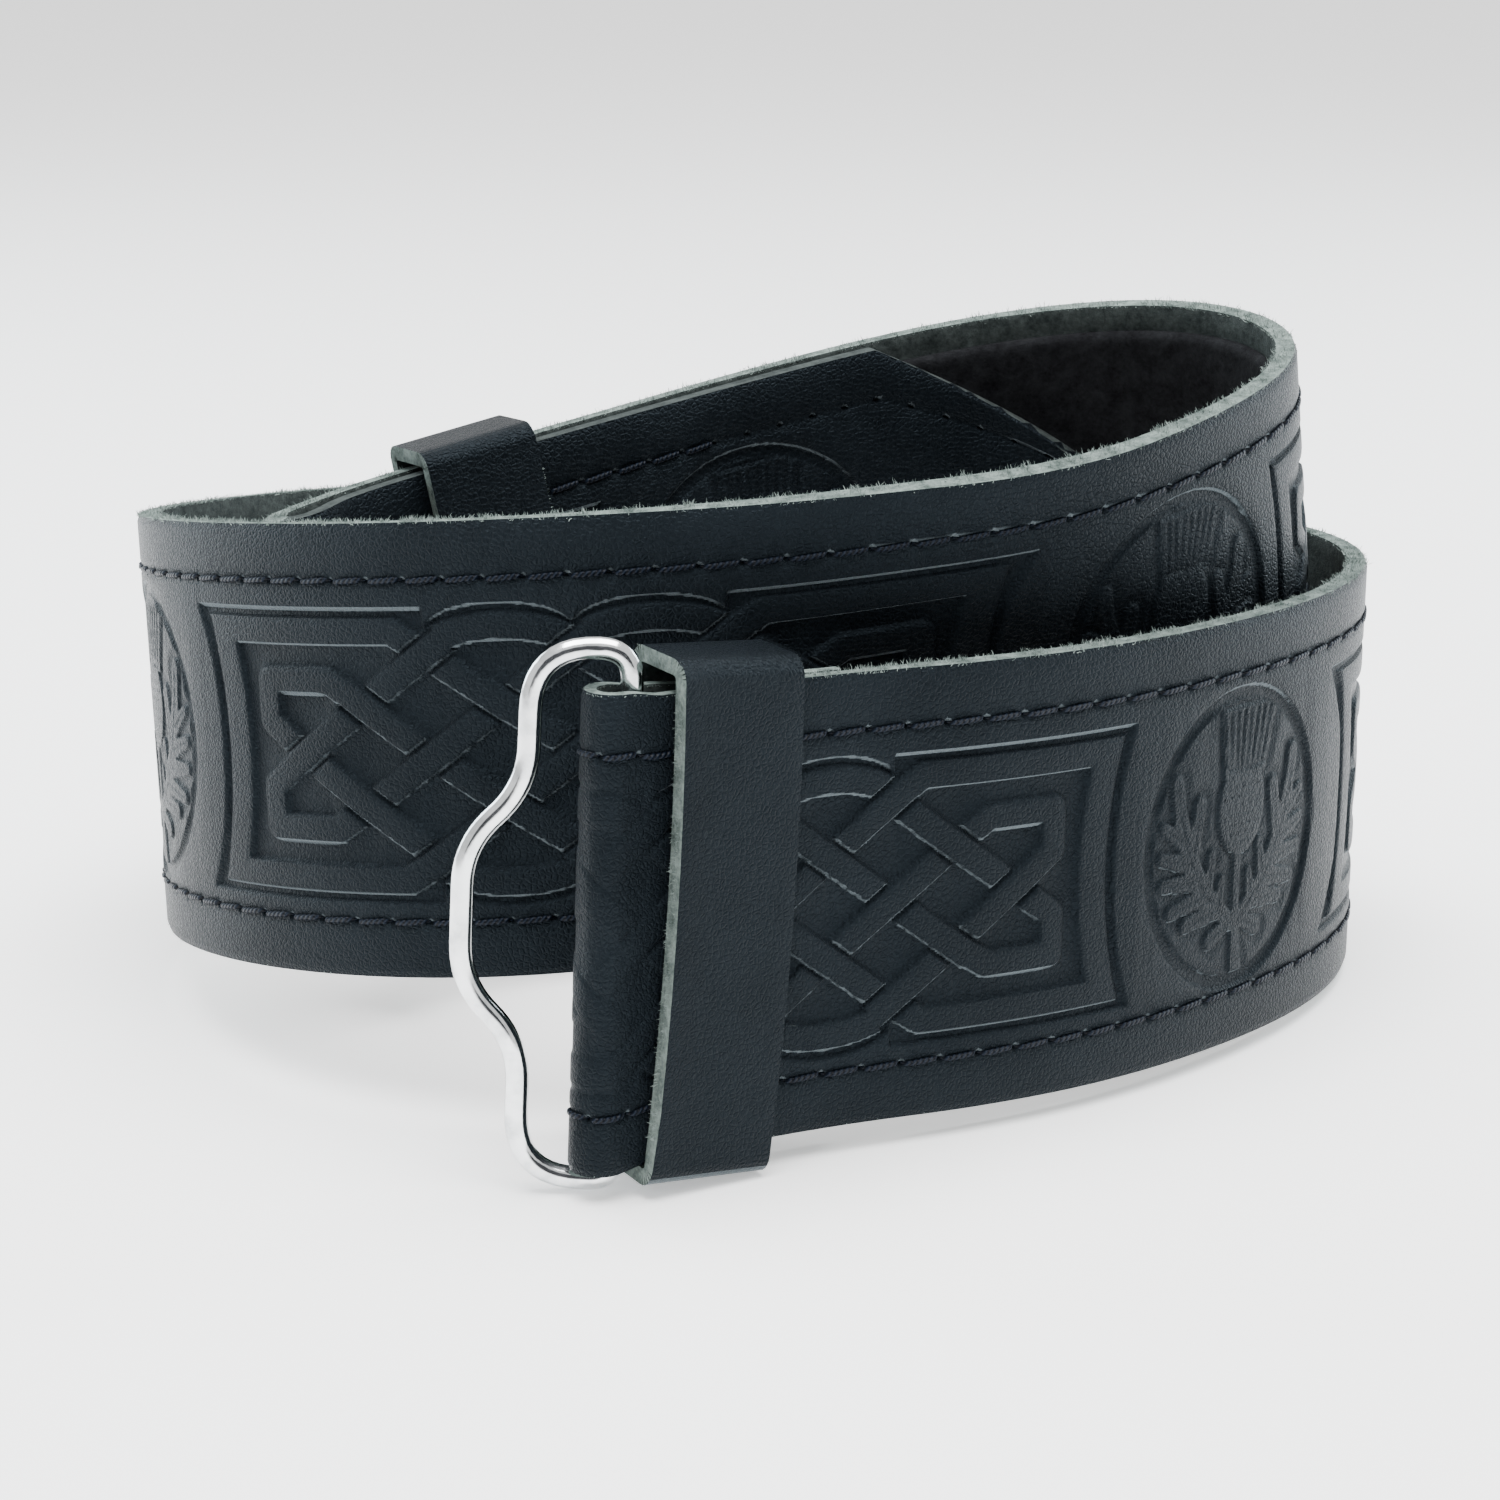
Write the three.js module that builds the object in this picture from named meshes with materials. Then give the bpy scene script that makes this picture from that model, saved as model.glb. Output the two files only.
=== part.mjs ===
// A kilt belt: a wide leather strap, coiled twice and standing on its edge.
// Lengths are in millimetres and angles in degrees. +Z is up and the viewer is at -Y.

import * as THREE from 'three';

// Strap
const strapWidth = 57;
const strapThickness = 3;
const coilLength = 735; // along the strap, from the front fold to the rear fold
const skivedThickness = 2; // round the front fold, where the leather is thinned
const skiveTaper = 18; // length over which it comes back to the full thickness
const flapLength = 30; // doubled end behind the front fold
const foldFlare = 0.7; // how far the thinned leather is pressed out past each edge
const flareLength = 5;
const tailLength = 125; // doubled end inside the rear fold
const tipLength = 35;
const tipNose = 5; // width left at the very point

// Wire loop
const wireDiameter = 2.8;
const wireReach = 18.8; // from the bar to the raised middle
const shoulderReach = 11.6; // from the bar to the shoulders
const raisedHeight = 17; // straight stretch of the raised middle
const shoulderGap = 31; // between the two shoulders
const wireCornerRadius = 5.5;
const crownRadius = 8; // at the loop's two outer corners
const barCornerRadius = 2.5; // at the two ends of the bar
const barSetback = 2.2; // from the middle of the fold's bend
const wireEdgeGap = 2.4; // between the wire and the strap's edges
const wireRaise = 1.2; // how far the loop is pushed up in the fold
const wireSwing = 31; // how far the loop is swung back from the strap's own line
const wireTilt = 3; // lean of the bar along the fold

// Keepers
const keeperThickness = 2;
const keeperLength = 16; // along the strap
const keeperSlack = 0.7; // play round the two layers
const keeperTopSlack = 1.2; // play above the strap
const keeperBottomSlack = 0.6; // play below the strap
const keeperCornerRadius = 0.5; // inside the bends
const frontKeeperPlace = 13.3; // middle of the keeper, from the front fold
const frontKeeperTilt = 4;
const rearKeeperPlace = 28; // middle of the keeper, from the rear fold

// Hook-and-loop strip
const tapeWidth = 50;
const tapeThickness = 1.4;
const tapeLength = 162;
const tapeSetback = 44; // from the rear fold

// Fits
const fitGap = 0.3; // between pieces that touch

// How finely the pieces are faceted
const coilSteps = 250;
const foldSteps = 12;
const wireSteps = 120;
const wireSides = 8;
const keeperBendSteps = 5;

// Distances between the middles of two layers
const foldHollow = wireDiameter + 2 * fitGap;
const frontFoldSpan = foldHollow + skivedThickness;
const rearFoldSpan = foldHollow + strapThickness;
const flapSpan = skivedThickness + fitGap;
const tailSpan = strapThickness + tapeThickness + 2 * fitGap;
const foldTaper = 8; // length over which a fold closes to its layers' spacing

// The strap lies flat on its edge until the left end and then climbs, as it only bends across its
// flat side and twists, and never bends edgeways.
// at: share of the coil's length, in percent. bend: degrees turned to the left in each percent.
// twist: degrees that the top edge turns outwards in each percent.
const startHeading = 33.1;
const coilStations = [
  // front wall, from the wire loop to the right
  { at: 0, bend: -3, twist: 0 },
  { at: 4, bend: -2, twist: 0 },
  { at: 8, bend: 4.5, twist: 0 },
  { at: 12, bend: 3, twist: 0 },
  // right end
  { at: 16, bend: 6.5, twist: 0 },
  { at: 20, bend: 13.5, twist: 0 },
  { at: 24, bend: 9.5, twist: 0 },
  // back wall
  { at: 28, bend: 0, twist: 0 },
  { at: 33, bend: 0.5, twist: 0 },
  { at: 36, bend: 4, twist: 0 },
  // left end, where the strap starts to climb
  { at: 40, bend: 7.5, twist: 1.75 },
  { at: 44, bend: 9.5, twist: 0.5 },
  { at: 49, bend: 7, twist: -0.25 },
  // front wall of the inner turn
  { at: 54, bend: 6, twist: 0 },
  { at: 59, bend: 7.5, twist: 1 },
  { at: 64, bend: 5, twist: 3 },
  { at: 68, bend: 0, twist: 2.25 },
  { at: 72, bend: 4.5, twist: -2.25 },
  // right end of the inner turn
  { at: 75, bend: 8, twist: -1.25 },
  { at: 78, bend: 17.5, twist: -1.25 },
  { at: 81, bend: 15, twist: 0 },
  { at: 85, bend: 8, twist: 0.75 },
  // back wall of the inner turn, down to the rear keeper and the rear fold
  { at: 89, bend: 2.5, twist: 0.5 },
  { at: 93, bend: 0, twist: 0.5 },
  { at: 96.5, bend: 0, twist: 0.25 },
  { at: 98, bend: 9, twist: 0.25 },
  { at: 100, bend: 9, twist: 0.25 },
];
const flatStretch = 33; // percent of the coil that lies square on the surface

const up = new THREE.Vector3(0, 0, 1);
const radians = THREE.MathUtils.degToRad;

function smooth(share) {
  const x = THREE.MathUtils.clamp(share, 0, 1);
  return x * x * (3 - 2 * x);
}

function stationValue(name, percent) {
  const next = coilStations.findIndex((station) => station.at >= percent && station.at > 0);
  const after = coilStations[next < 0 ? coilStations.length - 1 : next];
  const before = coilStations[coilStations.indexOf(after) - 1];
  const share = (percent - before.at) / (after.at - before.at);
  return THREE.MathUtils.lerp(before[name], after[name], THREE.MathUtils.clamp(share, 0, 1));
}

// Walks along the strap's middle line. Each frame's x axis runs along the strap, its y axis
// points into the coil and its z axis runs up across the strap.
function walkCoil() {
  const frames = [];
  const step = coilLength / coilSteps;
  const percentStep = 100 / coilSteps;
  const point = new THREE.Vector3(0, 0, strapWidth / 2);
  const facing = new THREE.Quaternion().setFromAxisAngle(up, radians(startHeading));
  for (let i = 0; i <= coilSteps; i += 1) {
    frames.push({ point: point.clone(), facing: facing.clone() });
    const percent = (i + 0.5) * percentStep;
    const twist = radians(stationValue('twist', percent) * percentStep);
    const bend = radians(stationValue('bend', percent) * percentStep);
    const turn = new THREE.Vector3(twist, 0, bend);
    const angle = turn.length();
    const before = new THREE.Vector3(1, 0, 0).applyQuaternion(facing);
    if (angle > 0) {
      facing.multiply(new THREE.Quaternion().setFromAxisAngle(turn.normalize(), angle));
    }
    const after = new THREE.Vector3(1, 0, 0).applyQuaternion(facing);
    point.addScaledVector(before.add(after), step / 2);
  }
  return frames;
}

const coil = walkCoil();

// The coil's frame at a distance along the strap from the front fold.
function coilFrame(along) {
  const place = THREE.MathUtils.clamp(along / coilLength, 0, 1) * coilSteps;
  const i = Math.min(Math.floor(place), coilSteps - 1);
  const share = place - i;
  const point = coil[i].point.clone().lerp(coil[i + 1].point, share);
  const facing = coil[i].facing.clone().slerp(coil[i + 1].facing, share);
  return { point, facing };
}

function alongAxis(frame) {
  return new THREE.Vector3(1, 0, 0).applyQuaternion(frame.facing);
}

function inwardAxis(frame) {
  return new THREE.Vector3(0, 1, 0).applyQuaternion(frame.facing);
}

function acrossAxis(frame) {
  return new THREE.Vector3(0, 0, 1).applyQuaternion(frame.facing);
}

function strapThicknessAt(along) {
  const share = smooth((along - flapLength) / skiveTaper);
  return THREE.MathUtils.lerp(skivedThickness, strapThickness, share);
}

// A place in a layer that lies beside the coil, towards its inside.
function layerPlace(along, inset) {
  const frame = coilFrame(along);
  return {
    middle: frame.point.clone().addScaledVector(inwardAxis(frame), inset),
    across: acrossAxis(frame),
    width: strapWidth + 2 * foldFlare * (1 - smooth(along / flareLength)),
    thickness: strapThicknessAt(along),
  };
}

// Half a turn from one layer to the other at an end of the coil. The way is -1 at the front
// fold and 1 at the rear fold.
function foldPlaces(along, way, span) {
  const places = [];
  const frame = coilFrame(along);
  const radius = span / 2;
  for (let i = 1; i < foldSteps; i += 1) {
    const angle = Math.PI * i / foldSteps;
    const place = layerPlace(along, radius - radius * Math.cos(angle));
    place.middle.addScaledVector(alongAxis(frame), way * radius * Math.sin(angle));
    places.push(place);
  }
  return places;
}

// How far a folded layer's middle lies from the coil's. The room is the length behind the bend
// that stays fully open.
function layerInset(fromFold, room, foldSpan, layerSpan) {
  return layerSpan + (foldSpan - layerSpan) * (1 - smooth((fromFold - room) / foldTaper));
}

function facesFromRings(rings, closed) {
  const size = rings[0].length;
  const positions = rings.flat().flatMap((corner) => corner.toArray());
  const faces = [];
  const lengths = closed ? rings.length : rings.length - 1;
  for (let i = 0; i < lengths; i += 1) {
    const here = i * size;
    const there = ((i + 1) % rings.length) * size;
    for (let j = 0; j < size; j += 1) {
      const k = (j + 1) % size;
      faces.push(here + j, there + j, there + k, here + j, there + k, here + k);
    }
  }
  if (!closed) {
    const last = (rings.length - 1) * size;
    for (let j = 1; j < size - 1; j += 1) {
      faces.push(0, j, j + 1, last, last + j + 1, last + j);
    }
  }
  const geometry = new THREE.BufferGeometry();
  geometry.setAttribute('position', new THREE.Float32BufferAttribute(positions, 3));
  geometry.setIndex(faces);
  geometry.computeVertexNormals();
  return geometry;
}

// A flat band through a list of places, each with its direction across the band.
function bandGeometry(places) {
  const rings = places.map((place, i) => {
    const before = places[Math.max(i - 1, 0)].middle;
    const after = places[Math.min(i + 1, places.length - 1)].middle;
    const along = after.clone().sub(before);
    const outward = along.cross(place.across).normalize();
    const corner = (sideways, upwards) => place.middle.clone()
      .addScaledVector(outward, sideways * place.thickness / 2)
      .addScaledVector(place.across, upwards * place.width / 2);
    return [corner(1, 1), corner(-1, 1), corner(-1, -1), corner(1, -1)];
  });
  return facesFromRings(rings, false);
}

function strapGeometry() {
  const step = coilLength / coilSteps;
  const places = [];
  const flapSteps = Math.ceil(flapLength / step);
  const barRoom = barSetback + foldHollow / 2 + strapWidth / 2 * Math.sin(radians(wireTilt));
  for (let i = flapSteps; i >= 0; i -= 1) {
    const along = flapLength * i / flapSteps;
    places.push(layerPlace(along, layerInset(along, barRoom, frontFoldSpan, flapSpan)));
  }
  places.push(...foldPlaces(0, -1, frontFoldSpan).reverse());
  for (let i = 0; i <= coilSteps; i += 1) {
    places.push(layerPlace(i * step, 0));
  }
  places.push(...foldPlaces(coilLength, 1, rearFoldSpan));
  const tailSteps = Math.ceil(tailLength / step);
  for (let i = 0; i <= tailSteps; i += 1) {
    const fromFold = tailLength * i / tailSteps;
    const inset = layerInset(fromFold, 0, rearFoldSpan, tailSpan);
    const place = layerPlace(coilLength - fromFold, inset);
    const share = Math.min((tailLength - fromFold) / tipLength, 1);
    place.width = THREE.MathUtils.lerp(tipNose, strapWidth, share);
    places.push(place);
  }
  return bandGeometry(places);
}

function tapeGeometry() {
  const places = [];
  const start = coilLength - tapeSetback - tapeLength;
  const tapeSteps = Math.ceil(tapeLength / coilLength * coilSteps);
  const inset = (strapThickness + tapeThickness) / 2 + fitGap;
  for (let i = 0; i <= tapeSteps; i += 1) {
    const place = layerPlace(start + tapeLength * i / tapeSteps, inset);
    places.push({ ...place, width: tapeWidth, thickness: tapeThickness });
  }
  return bandGeometry(places);
}

function roundedRectangle(shape, left, bottom, right, top, radius) {
  shape.moveTo(left + radius, bottom);
  shape.lineTo(right - radius, bottom);
  shape.absarc(right - radius, bottom + radius, radius, -Math.PI / 2, 0);
  shape.lineTo(right, top - radius);
  shape.absarc(right - radius, top - radius, radius, 0, Math.PI / 2);
  shape.lineTo(left + radius, top);
  shape.absarc(left + radius, top - radius, radius, Math.PI / 2, Math.PI);
  shape.lineTo(left, bottom + radius);
  shape.absarc(left + radius, bottom + radius, radius, Math.PI, Math.PI * 1.5);
}

// The space inside a leather band round two layers whose middles are a span apart: x points into
// the coil and y up across the strap, from the middle of the outer layer.
function keeperWindow(span, layerThickness, tilt) {
  const skew = keeperLength * Math.sin(radians(tilt)) / 2;
  return {
    left: -layerThickness / 2 - keeperSlack,
    right: span + layerThickness / 2 + keeperSlack,
    bottom: -strapWidth / 2 - skew - keeperBottomSlack,
    top: strapWidth / 2 + skew + keeperTopSlack,
  };
}

const frontWindow = keeperWindow(frontFoldSpan, skivedThickness, frontKeeperTilt);
const rearWindow = keeperWindow(tailSpan, strapThickness, 0);

function keeperGeometry({ left, right, bottom, top }) {
  const wall = keeperThickness;
  const outline = new THREE.Shape();
  const outerRadius = keeperCornerRadius + wall;
  roundedRectangle(outline, left - wall, bottom - wall, right + wall, top + wall, outerRadius);
  const inside = new THREE.Path();
  roundedRectangle(inside, left, bottom, right, top, keeperCornerRadius);
  outline.holes.push(inside);
  const geometry = new THREE.ExtrudeGeometry(outline, {
    depth: keeperLength,
    bevelEnabled: false,
    curveSegments: keeperBendSteps,
  });
  geometry.translate(0, 0, -keeperLength / 2);
  return geometry;
}

// The wire's corners in its own plane: how far out from the bar, how high and how round.
function wireCorners() {
  const halfHeight = (strapWidth + wireDiameter) / 2 + wireEdgeGap;
  const upper = [
    { out: 0, height: halfHeight, radius: barCornerRadius },
    { out: shoulderReach, height: halfHeight, radius: crownRadius },
    { out: shoulderReach, height: shoulderGap / 2, radius: wireCornerRadius },
    { out: wireReach, height: raisedHeight / 2, radius: wireCornerRadius },
  ];
  const lower = upper.map((corner) => ({ ...corner, height: -corner.height })).reverse();
  return [...upper, ...lower].map(({ out, height, radius }) => (
    { point: new THREE.Vector3(-out, 0, height), radius }
  ));
}

function wirePath() {
  const corners = wireCorners();
  const path = new THREE.CurvePath();
  const bends = corners.map(({ point: corner, radius }, i) => {
    const before = corners[(i + corners.length - 1) % corners.length];
    const after = corners[(i + 1) % corners.length];
    // two neighbouring bends share the straight between them
    const reach = Math.min(radius, ...[before, after].map((other) => (
      corner.distanceTo(other.point) * radius / (radius + other.radius)
    )));
    const start = corner.clone().add(before.point.clone().sub(corner).setLength(reach));
    const end = corner.clone().add(after.point.clone().sub(corner).setLength(reach));
    return { start, corner, end };
  });
  bends.forEach((bend, i) => {
    const next = bends[(i + 1) % bends.length];
    path.add(new THREE.QuadraticBezierCurve3(bend.start, bend.corner, bend.end));
    path.add(new THREE.LineCurve3(bend.end, next.start));
  });
  return path;
}

function wireGeometry() {
  const path = wirePath();
  const rings = [];
  for (let i = 0; i < wireSteps; i += 1) {
    const share = i / wireSteps;
    const middle = path.getPointAt(share);
    const along = path.getTangentAt(share);
    const sideways = new THREE.Vector3(0, 1, 0);
    const outwards = along.clone().cross(sideways).normalize();
    const ring = [];
    for (let j = 0; j < wireSides; j += 1) {
      const angle = -2 * Math.PI * j / wireSides;
      ring.push(middle.clone()
        .addScaledVector(sideways, wireDiameter / 2 * Math.cos(angle))
        .addScaledVector(outwards, wireDiameter / 2 * Math.sin(angle)));
    }
    rings.push(ring);
  }
  return facesFromRings(rings, true);
}

function makeMesh(name, geometry, look) {
  const mesh = new THREE.Mesh(geometry, new THREE.MeshStandardMaterial(look));
  mesh.name = name;
  return mesh;
}

const leatherLook = { color: 0x1c2126, roughness: 0.55, metalness: 0 };
const tapeLook = { color: 0x0b0d10, roughness: 1, metalness: 0 };
const chromeLook = { color: 0xd9dee2, roughness: 0.15, metalness: 1 };

function placeKeeper(keeper, along, tilt) {
  const frame = coilFrame(along);
  const axes = new THREE.Matrix4().makeBasis(
    inwardAxis(frame),
    acrossAxis(frame),
    alongAxis(frame),
  );
  keeper.quaternion.setFromRotationMatrix(axes);
  keeper.rotateX(radians(tilt));
  keeper.position.copy(frame.point);
}

function placeWire(wire) {
  const frame = coilFrame(barSetback);
  wire.quaternion.copy(frame.facing);
  wire.rotateY(radians(wireTilt));
  wire.rotateZ(radians(-wireSwing));
  wire.position.copy(frame.point);
  wire.position.addScaledVector(inwardAxis(frame), frontFoldSpan / 2);
  wire.position.addScaledVector(acrossAxis(frame), wireRaise);
}

// The front keeper passes under the strap's edge and holds it up. The coil leans until the
// keeper's lowest corner and the back wall's edge are level.
function leanCoil(group, keeper) {
  const corner = new THREE.Vector3(
    frontWindow.right + keeperThickness - keeperCornerRadius,
    frontWindow.bottom - keeperThickness,
    keeperLength / 2,
  );
  const foot = corner.applyQuaternion(keeper.quaternion).add(keeper.position);
  const back = coilFrame(coilLength * flatStretch / 100);
  const backward = inwardAxis(back).negate();
  const edge = back.point.clone().addScaledVector(backward, strapThickness / 2);
  edge.addScaledVector(up, -strapWidth / 2);
  const depth = edge.clone().sub(foot).dot(backward);
  const axis = backward.clone().cross(up);
  group.quaternion.setFromAxisAngle(axis, -Math.atan2(edge.z - foot.z, depth));
}

function buildBelt() {
  const strap = makeMesh('strap', strapGeometry(), leatherLook);
  const wire = makeMesh('wire_loop', wireGeometry(), chromeLook);
  const frontKeeper = makeMesh('front_keeper', keeperGeometry(frontWindow), leatherLook);
  const rearKeeper = makeMesh('rear_keeper', keeperGeometry(rearWindow), leatherLook);
  const tape = makeMesh('loop_tape', tapeGeometry(), tapeLook);
  placeKeeper(frontKeeper, frontKeeperPlace, frontKeeperTilt);
  placeKeeper(rearKeeper, coilLength - rearKeeperPlace, 0);
  placeWire(wire);
  const belt = new THREE.Group();
  belt.add(strap, wire, frontKeeper, rearKeeper, tape);
  leanCoil(belt, frontKeeper);
  belt.updateMatrixWorld(true);
  const box = new THREE.Box3().setFromObject(belt, true);
  const middle = box.getCenter(new THREE.Vector3());
  belt.position.set(-middle.x, -middle.y, -box.min.z);
  return belt;
}

export default buildBelt();
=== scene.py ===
import math

import bpy
import numpy as np
from mathutils import Matrix, Quaternion, Vector


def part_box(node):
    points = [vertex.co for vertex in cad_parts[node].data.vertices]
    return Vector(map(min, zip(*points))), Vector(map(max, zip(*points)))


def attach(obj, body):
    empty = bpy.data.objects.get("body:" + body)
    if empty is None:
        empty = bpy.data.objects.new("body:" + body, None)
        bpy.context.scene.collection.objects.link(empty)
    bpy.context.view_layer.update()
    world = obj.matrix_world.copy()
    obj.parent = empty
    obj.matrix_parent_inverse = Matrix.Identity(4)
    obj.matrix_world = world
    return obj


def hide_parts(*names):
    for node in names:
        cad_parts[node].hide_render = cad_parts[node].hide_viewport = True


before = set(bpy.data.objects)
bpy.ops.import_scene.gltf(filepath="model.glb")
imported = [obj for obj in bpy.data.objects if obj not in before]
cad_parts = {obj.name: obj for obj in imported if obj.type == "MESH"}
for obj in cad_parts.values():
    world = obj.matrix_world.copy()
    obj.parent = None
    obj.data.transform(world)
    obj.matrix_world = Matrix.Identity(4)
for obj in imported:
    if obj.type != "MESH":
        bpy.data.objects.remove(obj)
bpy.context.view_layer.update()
mm = 0.001
print("frame loaded")


# small helpers

def selectOnly(*objects):
    if bpy.context.object and bpy.context.object.mode != "OBJECT":
        bpy.ops.object.mode_set(mode="OBJECT")
    bpy.ops.object.select_all(action="DESELECT")
    for item in objects:
        item.select_set(True)
    if objects:
        bpy.context.view_layer.objects.active = objects[0]


def applyModifier(piece, kind, **values):
    selectOnly(piece)
    modifier = piece.modifiers.new(kind.title(), kind)
    for name, value in values.items():
        setattr(modifier, name, value)
    bpy.ops.object.modifier_apply(modifier=modifier.name)


def smooth(share):
    x = np.clip(share, 0, 1)
    return x * x * (3 - 2 * x)


def smoothShade(piece, degrees):
    selectOnly(piece)
    bpy.ops.object.shade_smooth_by_angle(angle=math.radians(degrees))


def meshFromArrays(name, points, quads, flat=None):
    # points in millimetres, quads as rows of four corners, flat as a flat place for each point
    mesh = bpy.data.meshes.new(name)
    mesh.vertices.add(len(points))
    mesh.vertices.foreach_set("co", (np.asarray(points) * mm).astype(np.float32).ravel())
    mesh.loops.add(quads.size)
    mesh.loops.foreach_set("vertex_index", quads.astype(np.int32).ravel())
    mesh.polygons.add(len(quads))
    mesh.polygons.foreach_set("loop_start", np.arange(len(quads), dtype=np.int32) * 4)
    mesh.polygons.foreach_set("loop_total", np.full(len(quads), 4, dtype=np.int32))
    mesh.update(calc_edges=True)
    if flat is not None:
        layer = mesh.uv_layers.new(name="flatPlace")
        layer.data.foreach_set("uv", (flat[quads.ravel()] * mm).astype(np.float32).ravel())
    piece = bpy.data.objects.new(name, mesh)
    bpy.context.scene.collection.objects.link(piece)
    return piece


def closedGrid(columns, rows, frontPick):
    # quads of a grid whose rows close to a ring, with a strip over each end of it, from the picked
    # rows of the front to as many rows of the back
    i = np.arange(columns - 1)[:, None]
    j = np.arange(rows)[None, :]
    k = (j + 1) % rows
    corners = [i * rows + j, (i + 1) * rows + j, (i + 1) * rows + k, i * rows + k]
    walls = np.stack([np.broadcast_to(c, (columns - 1, rows)).ravel() for c in corners], axis=1)
    backPick = rows - 1 - np.arange(len(frontPick))
    cap = np.stack([frontPick[:-1], frontPick[1:], backPick[1:], backPick[:-1]], axis=1)
    return np.concatenate([walls, cap, (columns - 1) * rows + cap[:, ::-1]])


def pickEdges(mesh, axis):
    # picks the edges that run along an axis, and stays in edit mode
    bpy.ops.object.mode_set(mode="EDIT")
    bpy.ops.mesh.select_mode(type="EDGE")
    bpy.ops.mesh.select_all(action="DESELECT")
    bpy.ops.object.mode_set(mode="OBJECT")
    for edge in mesh.edges:
        a, b = (mesh.vertices[k].co[axis] for k in edge.vertices)
        edge.select = abs(a - b) > 1
    bpy.ops.object.mode_set(mode="EDIT")


# camera

cameraSetup = {"lens": 79.58, "place": (-7.1, -432.6, 164.5), "down": 16.7, "turn": 0.87}


def addCamera():
    tilt = math.radians(90 - cameraSetup["down"])
    turn = math.radians(-cameraSetup["turn"])
    place = [value * mm for value in cameraSetup["place"]]
    bpy.ops.object.camera_add(location=place, rotation=(tilt, 0, turn))
    camera = bpy.context.object
    camera.data.lens = cameraSetup["lens"]
    camera.data.sensor_width = 36
    camera.data.clip_start = 0.01
    bpy.context.scene.camera = camera


addCamera()
print("camera placed")


# the coil's path
# The strap's middle line, in millimetres, from the front fold to the rear fold.

coilPath = {
    "strapWidth": 57, "strapThickness": 3, "skivedThickness": 2, "skiveTaper": 18,
    "coilLength": 735, "flapLength": 30, "foldFlare": 0.7, "flareLength": 5,
    "tailLength": 125, "tipLength": 35, "tipNose": 5, "tipCurve": 0.85,
    "frontFoldSpan": 5.4, "rearFoldSpan": 6.4, "flapSpan": 2.3, "tailSpan": 5.0,
    "foldTaper": 8, "foldSkew": 2.4, "skewFade": 45, "foldHollow": 3.4, "barSetback": 2.2,
    "wireTilt": 3, "startHeading": 33.1, "flatStretch": 33, "steps": 3000,
    # share of the length in percent, degrees of bend and of twist in each percent
    "stations": [
        (0, -3, 0), (4, -2, 0), (8, 4.5, 0), (12, 3, 0), (16, 6.5, 0), (20, 13.5, 0),
        (24, 9.5, 0), (28, 0, 0), (33, 0.5, 0), (36, 4, 0), (40, 7.5, 1.75), (44, 9.5, 0.5),
        (49, 7, -0.25), (54, 6, 0), (59, 7.5, 1), (64, 5, 3), (68, 0, 2.25), (72, 4.5, -2.25),
        (75, 8, -1.25), (78, 17.5, -1.25), (81, 15, 0), (85, 8, 0.75), (89, 2.5, 0.5),
        (93, 0, 0.5), (96.5, 0, 0.25), (98, 9, 0.25), (100, 9, 0.25),
    ],
}

keeperSizes = {
    "thickness": 2, "length": 16, "slack": 0.7, "topSlack": 1.2, "bottomSlack": 0.6,
    "cornerRadius": 0.5, "frontPlace": 13.3, "frontTilt": 4, "rearPlace": 28,
    "bow": 0.45, "sway": 0.05, "rimSwell": 0.6, "rimWidth": 3.5,
}


def walkCoil():
    steps = coilPath["steps"]
    length = coilPath["coilLength"]
    at, bend, twist = np.array(coilPath["stations"], float).T
    percent = (np.arange(steps) + 0.5) * 100 / steps
    bends = np.radians(np.interp(percent, at, bend)) * 100 / steps
    twists = np.radians(np.interp(percent, at, twist)) * 100 / steps
    point = Vector((0, 0, coilPath["strapWidth"] / 2))
    facing = Quaternion((0, 0, 1), math.radians(coilPath["startHeading"]))
    rows = []
    for i in range(steps + 1):
        axes = facing.to_matrix().transposed()
        rows.append([*point, *axes[0], *axes[1], *axes[2]])
        if i < steps:
            turn = Vector((twists[i], 0, bends[i]))
            before = axes[0]
            facing = facing @ Quaternion(turn.normalized(), turn.length)
            after = facing @ Vector((1, 0, 0))
            point = point + (before + after) * (length / steps / 2)
    return np.array(rows)


coilRows = walkCoil()
coilAlong = np.linspace(0, coilPath["coilLength"], coilPath["steps"] + 1)


def coilFrames(along):
    # middle, along, inward and across for each distance, before the coil leans
    along = np.atleast_1d(np.asarray(along, float))
    rows = np.stack([np.interp(along, coilAlong, column) for column in coilRows.T], axis=1)
    parts = [rows[:, 0:3]]
    for k in (3, 6, 9):
        axis = rows[:, k:k + 3]
        parts.append(axis / np.linalg.norm(axis, axis=1, keepdims=True))
    return parts


def layerInset(fromFold, room, foldSpan, layerSpan):
    # how far the inner layer lies from the outer one, wider beside the fold
    share = 1 - smooth((fromFold - room) / coilPath["foldTaper"])
    return layerSpan + (foldSpan - layerSpan) * share


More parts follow.
